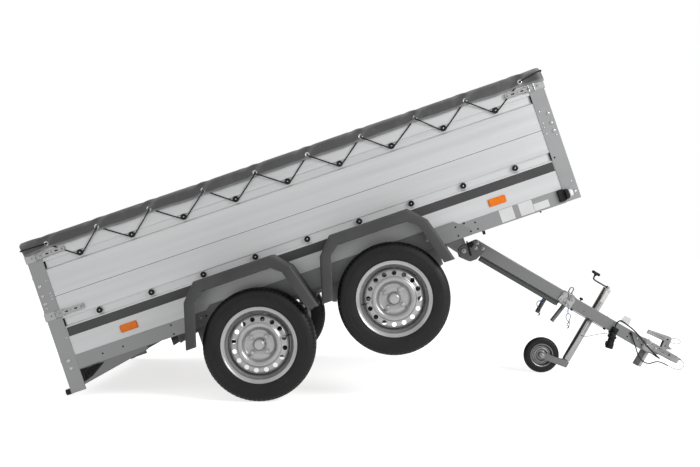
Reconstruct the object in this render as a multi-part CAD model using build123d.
from build123d import *
from math import atan2, cos, degrees, radians, sin, tan
import os

# Tipping utility trailer on two axles, standing tipped on its rear wheels, its two
# rear feet and its jockey wheel. Lengths are millimetres and angles are degrees.
# Body pieces are drawn in the bed's frame: x forward along the bed from the rear
# posts, y to the left, z up from the posts' feet. Drawbar pieces are drawn in the
# drawbar's frame: x forward along it from the tipping pivot, z up across it.

# Stance
BED_TILT = 18.85
DRAWBAR_SLOPE = 30.3

# Load box
BOX_LENGTH = 2700.0
BOX_HALF_WIDTH = 655.0
BOARD_THICK = 25.0
FLOOR_TOP = 130.0
FLOOR_THICK = 12.0
LOWER_BOARD = 352.0
UPPER_BOARD = 298.0
BAND_DEPTH = 7.0
BAND_HEIGHT = 36.0
BAND_BELOW_TOP = 116.0
BAND_SLOPE = 8.0
SIDE_GAP = 6.0

# Steel frame of the bed
STEEL = 3.0
RAIL_BOTTOM = 105.0
RAIL_TOP = 177.0
RAIL_TRAY = 58.0
POST_WIDTH = 77.0
POST_FLANGE = 40.0
POST_TOP = 735.0
FRONT_POST_BOTTOM = 107.0
DOUBLER_START = 720.0
DOUBLER_END = 2130.0
DOUBLER_TOP = 197.0
DOUBLER_CHAMFER = 70.0
DOUBLER_THICK = 4.0
MEMBER_DEPTH = 58.0
MEMBER_WIDTH = 40.0
SUBFRAME_DEPTH = 15.0
SUBFRAME_WIDTH = 54.0
GUSSET_END = 430.0
GUSSET_FOOT = 20.0

# Lamps, reflectors and lacing knobs
MARKER_FROM_FRONT = 55.0
MARKER_R = 22.0
MARKER_W = 145.0
LAMP_BAR_U = 25.0
TAIL_LAMP = (190.0, 70.0)
TAIL_LAMP_THICK = 21.0
TAIL_LAMP_IN = 58.0
TAIL_LAMP_FOOT = 26.0
REFLECTOR = (90.0, 38.0)
REFLECTOR_THICK = 7.0
REFLECTOR_FROM_REAR = 375.0
REFLECTOR_FROM_FRONT = 400.0
REFLECTOR_W = 224.0
KNOB_COUNT = 9
KNOB_END = 264.0
KNOB_R = 15.0
KNOB_HEIGHT = 16.0

# Cover
COVER_THICK = 4.0
COVER_SKIRT = 62.0
COVER_GAP = 2.0

# Road wheels and running gear
TYRE_R = 272.5
TYRE_WIDTH = 155.0
SHOULDER = 13.0
RIM_FLANGE_R = 182.0
BEAD_R = 166.0
RIM_HALF = 60.0
WHEEL_OUT = 104.5
HUB_FACE = 30.0
DISC_THICK = 4.0
VENT_COUNT = 16
VENT_R = 10.5
VENT_CIRCLE_R = 123.5
BOLT_COUNT = 4
BOLT_TURN = 45.0
BOLT_CIRCLE_R = 50.0
BOLT_HEAD_R = 10.0
BOLT_HEAD = 11.0
WELL_R = 150.0
WELL_SPAN = (-40.0, 12.0)
HUB_BORE_R = 29.0
SPINDLE_R = 15.0
RUNNING_GAP = 0.05
REAR_AXLE_U = 977.0
AXLE_SPACING = 681.0
AXLE_DROP = 57.0
AXLE_BEAM = 45.0
SPRING_SPAN = 520.0
SPRING_WIDTH = 40.0
SPRING_IN = 40.0
SPRING_PLATE = 4.0

# Mudguards
GUARD_HALF_FOOT = 333.0
GUARD_HALF_SHOULDER = 270.0
GUARD_HALF_TOP = 195.0
GUARD_FOOT = 32.0
GUARD_SHOULDER = 250.0
GUARD_TOP = 331.0
GUARD_WALL = 4.0
GUARD_LIP = 55.0
GUARD_WIDTH = 200.0

# Tailgate
GATE_HINGE_U = -12.0
GATE_HINGE_W = 122.0
GATE_MAX = 175.0
GATE_LIFT = 4.0
HINGE_PIN_R = 5.0
HINGE_KNUCKLE_R = 10.0
HINGE_IN = 228.0
HINGE_WIDTH = 50.0

# Tipping pivot, on the bed
PIVOT_U = 2134.0
PIVOT_W = 6.0
PIVOT_PIN_R = 10.0
CHEEK_INNER = 26.0
CHEEK_THICK = 5.0

# Drawbar
BEAM = 70.0
BEAM_WALL = 3.0
BEAM_BOTTOM = 24.0
BEAM_START = 34.0
BEAM_END = 683.0
FRONT_TUBE_START = 560.0
FRONT_TUBE_END = 1190.0
PIVOT_PLATE = 6.0
COLLAR_START = 612.0
COLLAR_END = 672.0
COLLAR_WALL = 4.0
CHANNEL_START = 106.0
CHANNEL_DEPTH = 26.0
CHANNEL_WIDTH = 50.0
BED_LOCK_S = 540.0
TUBE_LOCK_S = 653.0
TUBE_LOCK_LEAN = 8.0
LOCK_BAR_R = 12.0
LOCK_BAR_FOOT = -91.0

# Coupling
BALL_S = 1334.0
BALL_SOCKET_R = 25.25
SOCKET_DEPTH = 26.0
SOCKET_ROOF = 11.0
COUPLING_HALF = 36.0
NOSE_LUG = 14.0

# Trailer cable with its plug, and the thin safety cable round the nose. Each route is a
# list of points chosen by hand in the drawbar's frame: along, across, up.
CABLE_R = 4.0
CABLE_ROUTE = (
    (1190, 8, 40), (1220, 8, 40), (1246, 7, 37), (1263, -9, 35), (1264, -33, 34), (1247, -50, 35),
    (1215, -51, 42), (1160, -50, 58), (1100, -48, 83), (1052, -41, 100), (1010, -35, 105), (983, -37, 109),
    (961, -45, 108), (948, -55, 92), (946, -60, 71), (951, -60, 50),
)
SAFETY_CABLE_R = 1.75
SAFETY_ROUTE = (
    (1062, -40, 66), (1084, -42, 45), (1112, -44, 20), (1136, -44, -4), (1166, -44, -24), (1200, -43, -30),
    (1228, -43, -19), (1243, -43, 0), (1262, -43, 15), (1292, -42, 21), (1330, -40, 23), (1362, -34, 25),
    (1388, -22, 30), (1408, -10, 42), (1417, -3, 60), (1414, 0, 77), (1402, 0, 89), (1384, 0, 89),
)
PLUG_R = 19.0
PLUG_RING_R = 22.0
PLUG_NECK_R = 11.0
PLUG_LENGTH = 112.0
HOLDER_FROM_TOP = 42.0
HOLDER_DEPTH = 14.0
HOLDER_WALL = 5.0
GLAND_DEPTH = 12.0
CLIP_R = 5.0
CLIP_LENGTH = 18.0

# Jockey wheel
JOCKEY_S = 844.0
JOCKEY_Y = 90.0
JOCKEY_TRAIL = 138.0
JOCKEY_R = 102.5
JOCKEY_WIDTH = 46.0
JOCKEY_RIM_R = 62.0
JOCKEY_BOLT_R = 6.0
JOCKEY_TUBE_R = 24.0
JOCKEY_TUBE_WALL = 2.5
JOCKEY_TUBE_BOTTOM = -238.0
JOCKEY_TUBE_TOP = 235.0
SLIDE_GAP = 0.3
FORK_GAP = 6.0
FORK_THICK = 4.0
FORK_WIDTH = 40.0

# Derived places
TILT_SIN, TILT_COS = sin(radians(BED_TILT)), cos(radians(BED_TILT))
SLOPE_SIN, SLOPE_COS = sin(radians(DRAWBAR_SLOPE)), cos(radians(DRAWBAR_SLOPE))
BOARD_SEAM = FLOOR_TOP + LOWER_BOARD
BOX_TOP = BOARD_SEAM + UPPER_BOARD
SKIN_Y = BOX_HALF_WIDTH + STEEL
WHEEL_PLANE = SKIN_Y + WHEEL_OUT
SPRING_SEAT_Y = SKIN_Y - SPRING_IN
HINGES_Y = (HINGE_IN - SKIN_Y, SKIN_Y - HINGE_IN)
BED_Z = TYRE_R + AXLE_DROP * TILT_COS - REAR_AXLE_U * TILT_SIN
AXLES_U = (REAR_AXLE_U, REAR_AXLE_U + AXLE_SPACING)
PIVOT_X = PIVOT_U * TILT_COS - PIVOT_W * TILT_SIN
PIVOT_Z = BED_Z + PIVOT_U * TILT_SIN + PIVOT_W * TILT_COS
BEAM_TOP = BEAM_BOTTOM + BEAM
BEAM_MID = BEAM_BOTTOM + BEAM / 2
FRONT_TUBE = BEAM - 2 * BEAM_WALL
JOCKEY_AXLE_S = JOCKEY_S - JOCKEY_TRAIL
JOCKEY_AXLE_T = (JOCKEY_R - PIVOT_Z + JOCKEY_AXLE_S * SLOPE_SIN) / SLOPE_COS
FORK_TOP = JOCKEY_TUBE_BOTTOM - FORK_GAP
COUPLING_TOP = BEAM_MID + FRONT_TUBE / 2 + 4
SOCKET_BOTTOM = COUPLING_TOP - SOCKET_ROOF - SOCKET_DEPTH
COLLAR_BOTTOM = BEAM_BOTTOM - COLLAR_WALL

# The row's origin is on the floor, half-way along the trailer's length
REAR_END_X = -(BOX_TOP + COVER_THICK) * TILT_SIN - (COVER_THICK + COVER_GAP) * TILT_COS
NOSE_S = BALL_S + COUPLING_HALF + NOSE_LUG
FRONT_END_X = PIVOT_X + NOSE_S * SLOPE_COS + COUPLING_TOP * SLOPE_SIN
MID_X = (REAR_END_X + FRONT_END_X) / 2
BED = Location((-MID_X, 0, BED_Z), (0, -BED_TILT, 0))
DRAWBAR = Location((PIVOT_X - MID_X, 0, PIVOT_Z), (0, DRAWBAR_SLOPE, 0))


def block(x, y, z):
    """Box between pairs of limits."""
    size = (x[1] - x[0], y[1] - y[0], z[1] - z[0])
    middle = ((x[0] + x[1]) / 2, (y[0] + y[1]) / 2, (z[0] + z[1]) / 2)
    return Pos(*middle) * Box(*size)


def outline(points):
    """Flat face through the points, in its own x and y."""
    return make_face(Polyline(*points, close=True))


def side_plate(face, y_low, y_high):
    """Face drawn in length and height, thickened across the trailer."""
    placed = Plane.XZ.offset(-y_low) * face
    return extrude(placed, amount=y_high - y_low, dir=(0, 1, 0))


def along(face, x_low, x_high):
    """Cross-section drawn in width and height, run along the length."""
    return extrude(Plane.YZ.offset(x_low) * face, amount=x_high - x_low, dir=(1, 0, 0))


def cross_rod(x, z, radius, y_low, y_high):
    """Round bar across the trailer."""
    return side_plate(Pos(x, z) * Circle(radius), y_low, y_high)


def both_sides(shape):
    """The shape and its mirror image across the centre plane."""
    return [shape, shape.mirror(Plane.XZ)]


def square_tube(size, wall, corner):
    """Cross-section of a square tube, centred."""
    return RectangleRounded(size, size, corner) - Rectangle(size - 2 * wall, size - 2 * wall)


def board_section(bottom, top):
    """Board across its thickness, with the sunk band that carries the lacing knobs."""
    skin, core = BOX_HALF_WIDTH, BOX_HALF_WIDTH - BOARD_THICK
    band_top = top - BAND_BELOW_TOP
    band_bottom = band_top - BAND_HEIGHT
    return outline([
        (core, bottom), (skin, bottom), (skin, band_bottom - BAND_SLOPE),
        (skin - BAND_DEPTH, band_bottom), (skin - BAND_DEPTH, band_top),
        (skin, band_top), (skin, top), (core, top),
    ])


def side_boards(bottom, top):
    side = along(board_section(bottom, top), STEEL, BOX_LENGTH - STEEL)
    return both_sides(side)


def end_board(rear, bottom, top, half_width):
    """Board across the bed, its banded face turned outwards at the front."""
    front = rear + BOARD_THICK
    return block((rear, front), (-half_width, half_width), (bottom, top))


def side_rails():
    """Tray-shaped rail under each side board, from post to post."""
    inner = SKIN_Y - RAIL_TRAY
    floor_bottom = FLOOR_TOP - FLOOR_THICK
    section = outline([
        (inner, RAIL_BOTTOM), (SKIN_Y, RAIL_BOTTOM), (SKIN_Y, RAIL_TOP),
        (BOX_HALF_WIDTH, RAIL_TOP), (BOX_HALF_WIDTH, RAIL_BOTTOM + STEEL),
        (inner + STEEL, RAIL_BOTTOM + STEEL), (inner + STEEL, floor_bottom), (inner, floor_bottom),
    ])
    return both_sides(along(section, POST_WIDTH, BOX_LENGTH - POST_WIDTH))


def rail_doublers():
    corner = DOUBLER_END - DOUBLER_CHAMFER
    face = outline([
        (DOUBLER_START, RAIL_BOTTOM), (DOUBLER_END, RAIL_BOTTOM),
        (DOUBLER_END, RAIL_BOTTOM + DOUBLER_CHAMFER / 2), (corner, DOUBLER_TOP),
        (DOUBLER_START + DOUBLER_CHAMFER, DOUBLER_TOP),
        (DOUBLER_START, RAIL_BOTTOM + DOUBLER_CHAMFER / 2),
    ])
    return both_sides(side_plate(face, SKIN_Y, SKIN_Y + DOUBLER_THICK))


def corner_post(u_skin, inward, bottom):
    """Angle post: a side flange and an end flange, folded at the corner."""
    web = (BOX_HALF_WIDTH, SKIN_Y)
    far = u_skin + inward * POST_WIDTH
    side = block(sorted((u_skin, far)), web, (bottom, POST_TOP))
    fold = u_skin + inward * STEEL
    end = block(sorted((u_skin, fold)), (SKIN_Y - POST_FLANGE, SKIN_Y), (bottom, POST_TOP))
    return side + end


def corner_posts():
    rear = corner_post(0, 1, 0)
    front = corner_post(BOX_LENGTH, -1, FRONT_POST_BOTTOM)
    return both_sides(rear) + both_sides(front)


def channel(width, depth, wall):
    """Cross-section of a channel that opens downwards, its top edge at zero."""
    outer = Pos(0, -depth / 2) * Rectangle(width, depth)
    inner = Pos(0, -(depth + wall) / 2) * Rectangle(width - 2 * wall, depth - wall)
    return outer - inner


def cross_members():
    """Channels under the floor. Those ahead of the pivot are shallow, over the drawbar."""
    half = SKIN_Y - RAIL_TRAY
    top = FLOOR_TOP - FLOOR_THICK
    shallow = top - RAIL_BOTTOM
    table = (  # place along the bed, depth
        (POST_WIDTH + 3, MEMBER_DEPTH), (AXLES_U[0] - 417, MEMBER_DEPTH), (sum(AXLES_U) / 2, MEMBER_DEPTH),
        (PIVOT_U - 154, MEMBER_DEPTH), (BOX_LENGTH - 280, shallow),
    )
    members = []
    for place, depth in table:
        section = Plane.XZ.offset(half) * (Pos(place, top) * channel(MEMBER_WIDTH, depth, STEEL))
        members.append(extrude(section, amount=2 * half, dir=(0, 1, 0)))
    ends = block((BOX_LENGTH - MEMBER_WIDTH, BOX_LENGTH - STEEL), (-half, half), (RAIL_BOTTOM, top))
    return members + [ends]


def axle_subframe():
    """Channel under each rail that carries the spring hangers."""
    middle = SKIN_Y - STEEL - SUBFRAME_WIDTH / 2
    section = Pos(middle, RAIL_BOTTOM) * channel(SUBFRAME_WIDTH, SUBFRAME_DEPTH, STEEL)
    return both_sides(along(section, AXLES_U[0] - SPRING_SPAN / 2 - 80, AXLES_U[1] + SPRING_SPAN / 2 + 60))


def post_gussets():
    """Wedge plate that braces each long rear post to its rail."""
    face = outline([
        (POST_WIDTH - 20, GUSSET_FOOT), (GUSSET_END - 60, RAIL_BOTTOM - 27),
        (GUSSET_END, RAIL_BOTTOM - 17), (GUSSET_END, RAIL_BOTTOM), (POST_WIDTH - 20, RAIL_BOTTOM),
    ])
    return both_sides(side_plate(face, BOX_HALF_WIDTH - DOUBLER_THICK, BOX_HALF_WIDTH))


def rear_feet():
    """Rubber stop on each rear post: it meets the floor and the dropped tailgate."""
    length, radius = 28.0, 15.0
    height = radius + (length * TILT_SIN - BED_Z) / TILT_COS
    return both_sides(along(Pos(SKIN_Y - POST_FLANGE / 2, height) * Circle(radius), -length, 0))


def lamp_bar():
    """Panel between the rear posts that carries the tail lamps."""
    low, high = TAIL_LAMP_FOOT - 4, TAIL_LAMP_FOOT + TAIL_LAMP[1] + 4
    return [block((LAMP_BAR_U, LAMP_BAR_U + STEEL), (-BOX_HALF_WIDTH, BOX_HALF_WIDTH), (low, high))]


def tail_lamps():
    width, height = TAIL_LAMP
    outer = SKIN_Y - TAIL_LAMP_IN
    lamp = block((LAMP_BAR_U - TAIL_LAMP_THICK, LAMP_BAR_U), (outer - width, outer), (TAIL_LAMP_FOOT, TAIL_LAMP_FOOT + height))
    return both_sides(fillet(lamp.edges().group_by(Axis.X)[0], 5))


def marker_lamps():
    """Front position lamp on a rubber boot, one on each rail beside the front post."""
    middle = BOX_LENGTH - MARKER_FROM_FRONT
    boot = block((middle - 2 * MARKER_R, middle), (SKIN_Y, SKIN_Y + MARKER_R), (MARKER_W - MARKER_R, MARKER_W + MARKER_R))
    lens = Pos(middle, SKIN_Y + MARKER_R / 2, MARKER_W) * Rot(0, 90, 0) * Cylinder(MARKER_R / 2, 2 * MARKER_R)
    return both_sides(boot + lens)


def side_reflectors():
    face = Rectangle(*REFLECTOR)
    outer = BOX_HALF_WIDTH + REFLECTOR_THICK
    places = (REFLECTOR_FROM_REAR, BOX_LENGTH - REFLECTOR_FROM_FRONT)
    return [one for u in places
            for one in both_sides(side_plate(Pos(u, REFLECTOR_W) * face, BOX_HALF_WIDTH, outer))]


def latch(u_skin, inward, w):
    """Over-centre latch along a board: a lever on a base, ending in a hook at the corner."""
    points = [(0, -9), (60, -6), (100, -17), (198, -11), (198, 11), (100, 17), (60, 6), (0, 9)]
    face = outline([(u_skin + inward * u, w + height) for u, height in points])
    lever = side_plate(face, SKIN_Y, SKIN_Y + 9)
    base = block(sorted((u_skin + inward * 90, u_skin + inward * 190)), (BOX_HALF_WIDTH, SKIN_Y), (w - 10, w + 10))
    return lever + base


def corner_latches():
    lower, upper = BOARD_SEAM - 87, BOX_TOP - 84
    table = ((0, 1, lower), (0, 1, upper), (BOX_LENGTH, -1, upper))
    return [one for row in table for one in both_sides(latch(*row))]


def lacing_knobs():
    """Round plastic knobs in the sunk bands, for the cover's lacing."""
    pitch = (BOX_LENGTH - 2 * KNOB_END) / (KNOB_COUNT - 1)
    sunk = BOX_HALF_WIDTH - BAND_DEPTH
    knobs = []
    for top in (BOARD_SEAM, BOX_TOP):
        w = top - BAND_BELOW_TOP - BAND_HEIGHT / 2
        for index in range(KNOB_COUNT):
            knobs += both_sides(cross_rod(KNOB_END + pitch * index, w, KNOB_R, sunk, sunk + KNOB_HEIGHT))
    return knobs


def cover_sheet():
    """Flat cover over the box, with a skirt down all four sides."""
    gap = COVER_GAP
    top = BOX_TOP + COVER_THICK
    side = SKIN_Y + gap + COVER_THICK
    shell = block((-gap - COVER_THICK, BOX_LENGTH + gap + COVER_THICK), (-side, side), (BOX_TOP - COVER_SKIRT, top))
    inside = block((-gap, BOX_LENGTH + gap), (-SKIN_Y - gap, SKIN_Y + gap), (BOX_TOP - COVER_SKIRT, BOX_TOP))
    return [shell - inside]


def guard_line(inset):
    """Faceted arch over a wheel, moved towards the wheel by the inset."""
    half = (
        (GUARD_HALF_FOOT - inset, GUARD_FOOT),
        (GUARD_HALF_SHOULDER - inset * 0.93, GUARD_SHOULDER - inset * 0.25),
        (GUARD_HALF_TOP - inset * 0.45, GUARD_TOP - inset),
    )
    return [*half, *((-u, w) for u, w in reversed(half))]


def mudguard(axle_u):
    """Plastic guard: a folded sheet over the wheel and a deep outer lip."""
    inner_y = SKIN_Y + DOUBLER_THICK
    outer_y = inner_y + GUARD_WIDTH
    whole = outline(guard_line(0))
    sheet = whole - outline(guard_line(GUARD_WALL))
    lip = whole - outline(guard_line(GUARD_LIP))
    solid = side_plate(sheet, inner_y, outer_y) + side_plate(lip, outer_y - GUARD_WALL, outer_y)
    return Pos(axle_u, 0, 0) * solid


def mudguards():
    return [one for u in AXLES_U for one in both_sides(mudguard(u))]


def axles():
    """Square beam with a round spindle at each end."""
    spindle_end = WHEEL_PLANE + HUB_FACE - 20
    beams = []
    for u in AXLES_U:
        beam = Pos(u, 0, -AXLE_DROP) * Box(AXLE_BEAM, 2 * (SPRING_SEAT_Y + 30), AXLE_BEAM)
        beams.append(beam + cross_rod(u, -AXLE_DROP, SPINDLE_R, -spindle_end, spindle_end))
    return beams


def leaf_springs():
    """Pack of two leaves on each axle end, curved between its hangers."""
    half = SPRING_SPAN / 2
    low = -AXLE_DROP + AXLE_BEAM / 2
    springs = []
    for u in AXLES_U:
        line = [(-half, low + 62), (-half / 2, low + 21), (0, low + 14), (half / 2, low + 21), (half, low + 62)]
        under = [(half, low + 54), (half * 0.62, low + 16), (half / 3, low), (-half / 3, low),
                 (-half * 0.62, low + 16), (-half, low + 54)]
        face = Pos(u, 0) * outline(line + under)
        y = SPRING_SEAT_Y - SPRING_WIDTH / 2
        springs += both_sides(side_plate(face, y, y + SPRING_WIDTH))
    return springs


def spring_hangers():
    """Bracket at each spring end: two cheeks down from the subframe and a bolt through them."""
    half = SPRING_SPAN / 2
    top = RAIL_BOTTOM - SUBFRAME_DEPTH
    eye = -AXLE_DROP + AXLE_BEAM / 2 + 58
    hangers = []
    for u in AXLES_U:
        for end in (-half, half):
            out = 30 if end > 0 else -30
            face = outline([
                (u + end - out, top), (u + end + out, top), (u + end + out, eye - 10), (u + end + out / 3, eye - 18),
            ])
            for y in (SPRING_SEAT_Y - SPRING_WIDTH / 2 - SPRING_PLATE, SPRING_SEAT_Y + SPRING_WIDTH / 2):
                hangers += both_sides(side_plate(face, y, y + SPRING_PLATE))
    return hangers


def pivot_bracket():
    """Two cheeks under the bed, with a bush for the tipping pin, on a crosswise plate."""
    half = SKIN_Y - RAIL_TRAY
    top = FLOOR_TOP - FLOOR_THICK
    reach_back, reach_front, boss = 110.0, 25.0, 26.0
    rise = RAIL_BOTTOM - PIVOT_W
    face = outline([(-reach_back, rise), (reach_front, rise), (reach_front, 0), (-boss * 0.9, -boss * 0.4)])
    face += Circle(boss)
    face -= Circle(PIVOT_PIN_R + RUNNING_GAP)
    cheek = side_plate(Pos(PIVOT_U, PIVOT_W) * face, CHEEK_INNER, CHEEK_INNER + CHEEK_THICK)
    plate = block((PIVOT_U - reach_back, PIVOT_U + reach_front), (-half, half), (RAIL_BOTTOM, top))
    return [cheek + cheek.mirror(Plane.XZ) + plate]


def tailgate_board():
    half = SKIN_Y - POST_FLANGE - SIDE_GAP
    return [end_board(0, FLOOR_TOP + GATE_LIFT, BOARD_SEAM - GATE_LIFT, half)]


def tailgate_hinges():
    """Straps down the gate's outer face that curl round the hinge line."""
    half, straps = HINGE_WIDTH / 2, []
    for y in HINGES_Y:
        strap = block((-STEEL, 0), (y - half, y + half), (GATE_HINGE_W, FLOOR_TOP + 130))
        curl = cross_rod(GATE_HINGE_U, GATE_HINGE_W, HINGE_KNUCKLE_R, y - half, y + half)
        curl -= cross_rod(GATE_HINGE_U, GATE_HINGE_W, HINGE_PIN_R + RUNNING_GAP, y - half - 1, y + half + 1)
        straps.append(strap + curl)
    return straps


def hinge_pins():
    """Lug and pin on the rear sill, at each end of each gate strap."""
    pins = []
    reach = HINGE_WIDTH / 2 + 15
    for y in HINGES_Y:
        pin = cross_rod(GATE_HINGE_U, GATE_HINGE_W, HINGE_PIN_R, y - reach, y + reach)
        for low in (y - reach, y + reach - 12):
            pin += cross_rod(GATE_HINGE_U, GATE_HINGE_W, HINGE_KNUCKLE_R, low, low + 12)
            pin += block((GATE_HINGE_U, 60), (low, low + 12), (GATE_HINGE_W - 10, GATE_HINGE_W - 4))
        pins.append(pin)
    return pins


def rear_beam():
    section = Pos(0, BEAM_MID) * square_tube(BEAM, BEAM_WALL, 5)
    return [along(section, BEAM_START, BEAM_END)]


def front_tube():
    section = Pos(0, BEAM_MID) * square_tube(FRONT_TUBE, BEAM_WALL, 4)
    return [along(section, FRONT_TUBE_START, FRONT_TUBE_END)]


def pivot_plates():
    """Plate on each side of the rear beam, joined by the tipping pin."""
    face = outline([(BEAM_START, BEAM_TOP), (106, BEAM_TOP - 27), (87, -4), (63, -33), (3, -40), (-27, -12), (-24, 18)])
    face += Circle(28)
    plate = side_plate(face, BEAM / 2, BEAM / 2 + PIVOT_PLATE)
    ends = BEAM / 2 + PIVOT_PLATE
    pin = cross_rod(0, 0, PIVOT_PIN_R, -ends - 9, ends + 9)
    heads = cross_rod(0, 0, 15, ends, ends + 9)
    return [plate + plate.mirror(Plane.XZ) + pin + heads + heads.mirror(Plane.XZ)]


def under_channel():
    section = Pos(0, BEAM_BOTTOM) * channel(CHANNEL_WIDTH, CHANNEL_DEPTH, STEEL)
    return [along(section, CHANNEL_START, COLLAR_START)]


def beam_clamp():
    """Collar that grips the front tube at the mouth of the rear beam."""
    outer = BEAM + 2 * COLLAR_WALL
    section = Pos(0, BEAM_MID) * (RectangleRounded(outer, outer, 6) - RectangleRounded(BEAM, BEAM, 5))
    collar = along(section, COLLAR_START, COLLAR_END)
    handle = side_plate(Pos(646, BEAM_TOP + 22) * (SlotOverall(44, 26, rotation=90) - SlotOverall(32, 14, rotation=90)), -5, 5)
    return [collar + handle]


def lock_bars():
    """Two hand bars under the beam that lock the bed and the telescoping tube."""
    roof = BEAM_BOTTOM - STEEL
    first = Pos(BED_LOCK_S, 0, (roof + LOCK_BAR_FOOT) / 2) * Cylinder(LOCK_BAR_R, roof - LOCK_BAR_FOOT)
    length = 2 * (COLLAR_BOTTOM - LOCK_BAR_FOOT)
    second = Pos(TUBE_LOCK_S, 0, COLLAR_BOTTOM) * Rot(0, TUBE_LOCK_LEAN, 0) * Cylinder(LOCK_BAR_R, length)
    second -= block((COLLAR_START - BEAM, COLLAR_END + BEAM), (-BEAM, BEAM), (COLLAR_BOTTOM, length))
    return [first, second]


def coupling_body():
    """Pressed coupling head: two cheeks round the tube and a closed nose with the ball socket."""
    top = COUPLING_TOP
    start = FRONT_TUBE_END - 50
    plan = Pos((FRONT_TUBE_END + BALL_S) / 2, 0) * Rectangle(BALL_S - FRONT_TUBE_END, 2 * COUPLING_HALF)
    plan += Pos(BALL_S, 0) * Circle(COUPLING_HALF)
    nose = extrude(Plane.XY.offset(SOCKET_BOTTOM) * plan, amount=top - SOCKET_BOTTOM)
    nose -= Pos(BALL_S, 0, SOCKET_BOTTOM) * Cylinder(BALL_SOCKET_R, 2 * SOCKET_DEPTH)
    cheek = side_plate(outline([(start, top), (FRONT_TUBE_END + 60, top), (FRONT_TUBE_END + 60, SOCKET_BOTTOM),
                                (FRONT_TUBE_END, BEAM_BOTTOM), (start, BEAM_BOTTOM)]),
                       FRONT_TUBE / 2, COUPLING_HALF)
    roof = block((start, FRONT_TUBE_END + 60), (-COUPLING_HALF, COUPLING_HALF), (top - 4, top))
    lug = block((BALL_S, NOSE_S), (-NOSE_LUG / 2, NOSE_LUG / 2), (top - SOCKET_ROOF, top))
    return [nose + cheek + cheek.mirror(Plane.XZ) + roof + lug]


def coupling_handle():
    top = COUPLING_TOP
    face = outline([(1142, 124), (1242, 134), (1247, top), (1274, top), (1304, 112), (1304, 118), (1278, 122),
                    (1274, 166), (1262, 172), (1160, 152), (1142, 148)])
    return [side_plate(face, -16, 16)]


def cord(route, radius):
    """Round cord: straight runs joined by tangent arcs, each as large as its two runs allow."""
    points = [Vector(*point) for point in route]
    radii = []
    for before, at, after in zip(points, points[1:], points[2:]):
        come, leave = at - before, after - at
        half_turn = radians(come.get_angle(leave)) / 2
        radii.append(0.45 * min(come.length, leave.length) / tan(half_turn))
    path = FilletPolyline(*points, radius=radii)
    tube = sweep(Plane(origin=path @ 0, z_dir=path % 0) * Circle(radius), path=path)
    print("cord length", round(path.length), "radii", [round(r) for r in radii])
    return tube


def plug_place():
    """Plane at the top of the hanging plug, its z axis pointing out of the plug's open end."""
    before, end = (Vector(*point) for point in CABLE_ROUTE[-2:])
    return Plane(origin=end, x_dir=(0, 1, 0), z_dir=end - before)


def cable_plug():
    """Round plug about its own axis: neck, body and the wider locking ring."""
    ring_start = PLUG_LENGTH - 32
    section = outline([(0, 0), (PLUG_NECK_R, 0), (PLUG_NECK_R + 2, 20), (PLUG_R, 32), (PLUG_R, ring_start),
                       (PLUG_RING_R, ring_start + 3), (PLUG_RING_R, PLUG_LENGTH), (0, PLUG_LENGTH)])
    return [plug_place().location * revolve(Plane.XZ * section, Axis.Z)]


def plug_holder():
    """Plate on the front tube with a collar in which the plug hangs."""
    place = plug_place()
    bore = PLUG_R + SLIDE_GAP
    level = HOLDER_FROM_TOP + HOLDER_DEPTH / 2
    centre = place.origin + place.z_dir * level
    collar = place.location * Pos(0, 0, level) * Cylinder(bore + HOLDER_WALL, HOLDER_DEPTH)
    plate = block((centre.X - 20, centre.X + 20), (centre.Y + bore + 1, -FRONT_TUBE / 2), (centre.Z - 6, BEAM_MID))
    hole = place.location * Pos(0, 0, level) * Cylinder(bore, 4 * HOLDER_DEPTH)
    return [collar + plate - hole]


def cable_clips():
    """Gland in the open end of the front tube, and the saddle that ends the safety cable."""
    bore = FRONT_TUBE - 2 * BEAM_WALL - 2 * RUNNING_GAP
    gland = along(Pos(0, BEAM_MID) * Rectangle(bore, bore), FRONT_TUBE_END - GLAND_DEPTH, FRONT_TUBE_END)
    end, after = (Vector(*point) for point in SAFETY_ROUTE[:2])
    way = (after - end).normalized()
    saddle = Plane(origin=end - way * (CLIP_LENGTH / 2), z_dir=way).location * Cylinder(CLIP_R, CLIP_LENGTH)
    base = block((end.X - 18, end.X - 6), (end.Y, -FRONT_TUBE / 2), (end.Z + 2, end.Z + 14))
    return [gland, saddle + base]


def jockey_clamp():
    """Bracket on the far side of the front tube with a ring round the jockey tube."""
    side = FRONT_TUBE / 2
    low, high = BEAM_BOTTOM + 8, BEAM_TOP - 8
    ring = Pos(JOCKEY_S, JOCKEY_Y, (low + high) / 2) * Cylinder(JOCKEY_TUBE_R + 8, high - low)
    arm = block((JOCKEY_S - 30, JOCKEY_S + 30), (side, JOCKEY_Y), (low, high))
    bore = Pos(JOCKEY_S, JOCKEY_Y, (low + high) / 2) * Cylinder(JOCKEY_TUBE_R + SLIDE_GAP, 2 * (high - low))
    return [ring + arm - bore]


def jockey_outer_tube():
    height = JOCKEY_TUBE_TOP - JOCKEY_TUBE_BOTTOM
    middle = (JOCKEY_TUBE_TOP + JOCKEY_TUBE_BOTTOM) / 2
    tube = Pos(JOCKEY_S, JOCKEY_Y, middle) * Cylinder(JOCKEY_TUBE_R, height)
    inside = JOCKEY_TUBE_R - JOCKEY_TUBE_WALL
    hollow = Pos(JOCKEY_S, JOCKEY_Y, middle - 10) * Cylinder(inside, height)
    return [tube - hollow]


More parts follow.
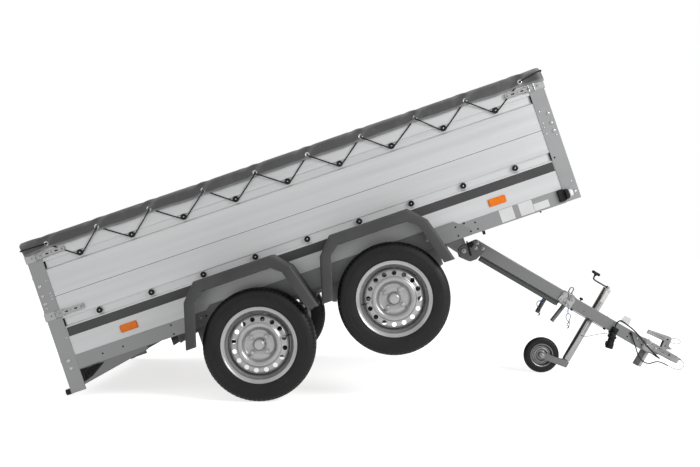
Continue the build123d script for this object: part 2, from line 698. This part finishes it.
def jockey_crank():
    base = Pos(JOCKEY_S, JOCKEY_Y, JOCKEY_TUBE_TOP + 9) * Cylinder(10, 18)
    level = JOCKEY_TUBE_TOP + 8
    arm = block((JOCKEY_S - 104, JOCKEY_S), (JOCKEY_Y - 5, JOCKEY_Y + 5), (level - 4, level + 4))
    stem = Pos(JOCKEY_S - 100, JOCKEY_Y, level + 12) * Cylinder(5, 26)
    knob = block((JOCKEY_S - 126, JOCKEY_S - 76), (JOCKEY_Y - 9, JOCKEY_Y + 9), (level + 24, level + 50))
    return [base + arm + stem + knob]


def jockey_inner_tube():
    radius = JOCKEY_TUBE_R - JOCKEY_TUBE_WALL - SLIDE_GAP
    bottom = FORK_TOP + SLIDE_GAP
    height = 282.0
    return [Pos(JOCKEY_S, JOCKEY_Y, bottom + height / 2) * Cylinder(radius, height)]


def jockey_fork():
    """Boss under the leg with a long cheek on each side of the wheel, and its axle bolt."""
    rise = FORK_TOP - 17 - JOCKEY_AXLE_T
    length = (JOCKEY_TRAIL ** 2 + rise ** 2) ** 0.5
    angle = degrees(atan2(rise, JOCKEY_TRAIL))
    middle = Pos(JOCKEY_AXLE_S + JOCKEY_TRAIL / 2, JOCKEY_AXLE_T + rise / 2)
    face = middle * SlotCenterToCenter(length, FORK_WIDTH, rotation=angle)
    gap = JOCKEY_WIDTH / 2 + FORK_GAP
    near = side_plate(face, JOCKEY_Y - gap - FORK_THICK, JOCKEY_Y - gap)
    far = side_plate(face, JOCKEY_Y + gap, JOCKEY_Y + gap + FORK_THICK)
    web = block((JOCKEY_S - 22, JOCKEY_S + 18), (JOCKEY_Y - gap, JOCKEY_Y + gap), (FORK_TOP - 34, FORK_TOP))
    bolt = cross_rod(JOCKEY_AXLE_S, JOCKEY_AXLE_T, JOCKEY_BOLT_R, JOCKEY_Y - gap - FORK_THICK, JOCKEY_Y + gap + FORK_THICK)
    return [near + far + web + bolt]


def jockey_tyre():
    half = JOCKEY_WIDTH / 2
    section = outline([
        (JOCKEY_RIM_R, -half), (JOCKEY_R - 6, -half), (JOCKEY_R, -half + 6), (JOCKEY_R, half - 6), (JOCKEY_R - 6, half),
        (JOCKEY_RIM_R, half),
    ])
    ring = revolve(Plane.XZ * section, Axis.Z)
    return [Pos(JOCKEY_AXLE_S, JOCKEY_Y, JOCKEY_AXLE_T) * Rot(90, 0, 0) * ring]


def jockey_rim():
    half, bore = JOCKEY_WIDTH / 2, JOCKEY_BOLT_R + RUNNING_GAP
    hub_r, lip, web = 20, JOCKEY_RIM_R - 7, 6
    section = outline([(bore, -half), (hub_r, -half), (hub_r, -web), (lip, -web), (lip, -half), (JOCKEY_RIM_R, -half),
                       (JOCKEY_RIM_R, half), (lip, half), (lip, web), (hub_r, web), (hub_r, half), (bore, half)])
    ring = revolve(Plane.XZ * section, Axis.Z)
    return [Pos(JOCKEY_AXLE_S, JOCKEY_Y, JOCKEY_AXLE_T) * Rot(90, 0, 0) * ring]


def tyre_solid():
    """Tyre about the z axis. The air space inside is closed, so it is left solid."""
    half = TYRE_WIDTH / 2
    shoulder_r, tread = TYRE_R - SHOULDER, half - SHOULDER
    section = outline([
        (BEAD_R, -RIM_HALF), (RIM_FLANGE_R, -RIM_HALF), (RIM_FLANGE_R, -half), (shoulder_r, -half), (TYRE_R, -tread),
        (TYRE_R, tread), (shoulder_r, half), (RIM_FLANGE_R, half), (RIM_FLANGE_R, RIM_HALF), (BEAD_R, RIM_HALF),
    ])
    return revolve(Plane.XZ * section, Axis.Z)


def rim_solid():
    """Steel wheel about the z axis, outer face up: barrel with a well, and a vented, dished disc."""
    t, face, lip = DISC_THICK, HUB_FACE, 3.0
    end, inner_r, well_r = RIM_HALF + lip, BEAD_R - t, WELL_R - t
    low, high = WELL_SPAN
    barrel = outline([
        (RIM_FLANGE_R, -end), (RIM_FLANGE_R, -RIM_HALF), (BEAD_R, -RIM_HALF), (BEAD_R, low), (WELL_R, low),
        (WELL_R, high), (BEAD_R, high), (BEAD_R, RIM_HALF), (RIM_FLANGE_R, RIM_HALF), (RIM_FLANGE_R, end),
        (inner_r, end), (inner_r, high + t), (well_r, high + t), (well_r, low - t), (inner_r, low - t), (inner_r, -end),
    ])
    ring, vents = face + 21, face + 11
    disc = outline([
        (HUB_BORE_R, face - t), (72, face - t), (89, ring - t), (101, ring - t), (106, vents - t),
        (well_r - t, vents - t), (well_r - t, high - 2 * t), (well_r, high - 2 * t), (well_r, vents), (109, vents),
        (104, ring), (87, ring), (68, face), (HUB_BORE_R, face),
    ])
    wheel = revolve(Plane.XZ * barrel, Axis.Z) + revolve(Plane.XZ * disc, Axis.Z)
    half_pitch = 180 / VENT_COUNT
    spots = PolarLocations(VENT_CIRCLE_R, VENT_COUNT, BOLT_TURN + half_pitch)
    return wheel - [spot * Cylinder(VENT_R, 4 * RIM_HALF) for spot in spots]


def hub_solids():
    """Hub about the z axis: bearing barrel, flange, grease cap, and the bolt heads on the disc."""
    back = HUB_FACE - DISC_THICK
    bore, cap = SPINDLE_R + RUNNING_GAP, HUB_BORE_R - SLIDE_GAP
    section = outline([(bore, back - 70), (34, back - 70), (34, back - 10), (66, back - 10), (66, back), (cap, back),
                       (cap, back + 28), (cap - 5, back + 34), (0, back + 34), (0, back - 4), (bore, back - 4)])
    hub = revolve(Plane.XZ * section, Axis.Z)
    heads = [spot * extrude(Plane.XY.offset(HUB_FACE) * RegularPolygon(BOLT_HEAD_R, 6), amount=BOLT_HEAD)
             for spot in PolarLocations(BOLT_CIRCLE_R, BOLT_COUNT, BOLT_TURN)]
    return [hub, *heads]


def wheel_places():
    """Name, place along the bed, and side of each road wheel."""
    names = ("rear", "front")
    sides = (("right", -1), ("left", 1))
    return [(f"{name}_{side}", u, sign) for name, u in zip(names, AXLES_U) for side, sign in sides]


def road_wheel(shape, u, sign):
    """A shape about the z axis, turned so that its outer face looks away from the bed."""
    return Pos(u, sign * WHEEL_PLANE, -AXLE_DROP) * Rot(-90 * sign, 0, 0) * shape


bed_nodes = {
    "side_rails": side_rails(),
    "rail_doublers": rail_doublers(),
    "cross_members": cross_members(),
    "axle_subframe": axle_subframe(),
    "floor_panel": [block((STEEL + BOARD_THICK + 4, BOX_LENGTH - STEEL), (-BOX_HALF_WIDTH, BOX_HALF_WIDTH),
                          (FLOOR_TOP - FLOOR_THICK, FLOOR_TOP))],
    "side_boards_lower": side_boards(FLOOR_TOP, BOARD_SEAM),
    "side_boards_upper": side_boards(BOARD_SEAM, BOX_TOP),
    "front_boards": [
        end_board(BOX_LENGTH - STEEL - BOARD_THICK, low, high, BOX_HALF_WIDTH - BOARD_THICK)
        for low, high in ((FLOOR_TOP, BOARD_SEAM), (BOARD_SEAM, BOX_TOP))
    ],
    "rear_board_upper": [end_board(STEEL, BOARD_SEAM, BOX_TOP, BOX_HALF_WIDTH - BOARD_THICK)],
    "corner_posts": corner_posts(),
    "corner_latches": corner_latches(),
    "lacing_knobs": lacing_knobs(),
    "cover_sheet": cover_sheet(),
    "mudguards": mudguards(),
    "axles": axles(),
    "leaf_springs": leaf_springs(),
    "spring_hangers": spring_hangers(),
    "post_gussets": post_gussets(),
    "rear_feet": rear_feet(),
    "lamp_bar": lamp_bar(),
    "tail_lamps": tail_lamps(),
    "marker_lamps": marker_lamps(),
    "side_reflectors": side_reflectors(),
    "pivot_bracket": pivot_bracket(),
    "hinge_pins": hinge_pins(),
    "tailgate_board": tailgate_board(),
    "tailgate_hinges": tailgate_hinges(),
}
for wheel, u, sign in wheel_places():
    bed_nodes[f"tyre_{wheel}"] = [road_wheel(tyre_solid(), u, sign)]
    bed_nodes[f"rim_{wheel}"] = [road_wheel(rim_solid(), u, sign)]
    bed_nodes[f"hub_{wheel}"] = [road_wheel(one, u, sign) for one in hub_solids()]

drawbar_nodes = {
    "rear_beam": rear_beam(),
    "front_tube": front_tube(),
    "pivot_plates": pivot_plates(),
    "under_channel": under_channel(),
    "beam_clamp": beam_clamp(),
    "lock_bars": lock_bars(),
    "coupling_body": coupling_body(),
    "coupling_handle": coupling_handle(),
    "trailer_cable": [cord(CABLE_ROUTE, CABLE_R)],
    "safety_cable": [cord(SAFETY_ROUTE, SAFETY_CABLE_R)],
    "cable_plug": cable_plug(),
    "plug_holder": plug_holder(),
    "cable_clips": cable_clips(),
    "jockey_clamp": jockey_clamp(),
    "jockey_outer_tube": jockey_outer_tube(),
    "jockey_crank": jockey_crank(),
    "jockey_inner_tube": jockey_inner_tube(),
    "jockey_fork": jockey_fork(),
    "jockey_tyre": jockey_tyre(),
    "jockey_rim": jockey_rim(),
}

os.makedirs("parts", exist_ok=True)
for frame, nodes in ((BED, bed_nodes), (DRAWBAR, drawbar_nodes)):
    for name, solids in nodes.items():
        shape = Compound([frame * solid for solid in solids]) if len(solids) > 1 else frame * solids[0]
        export_step(shape, f"parts/{name}.step")
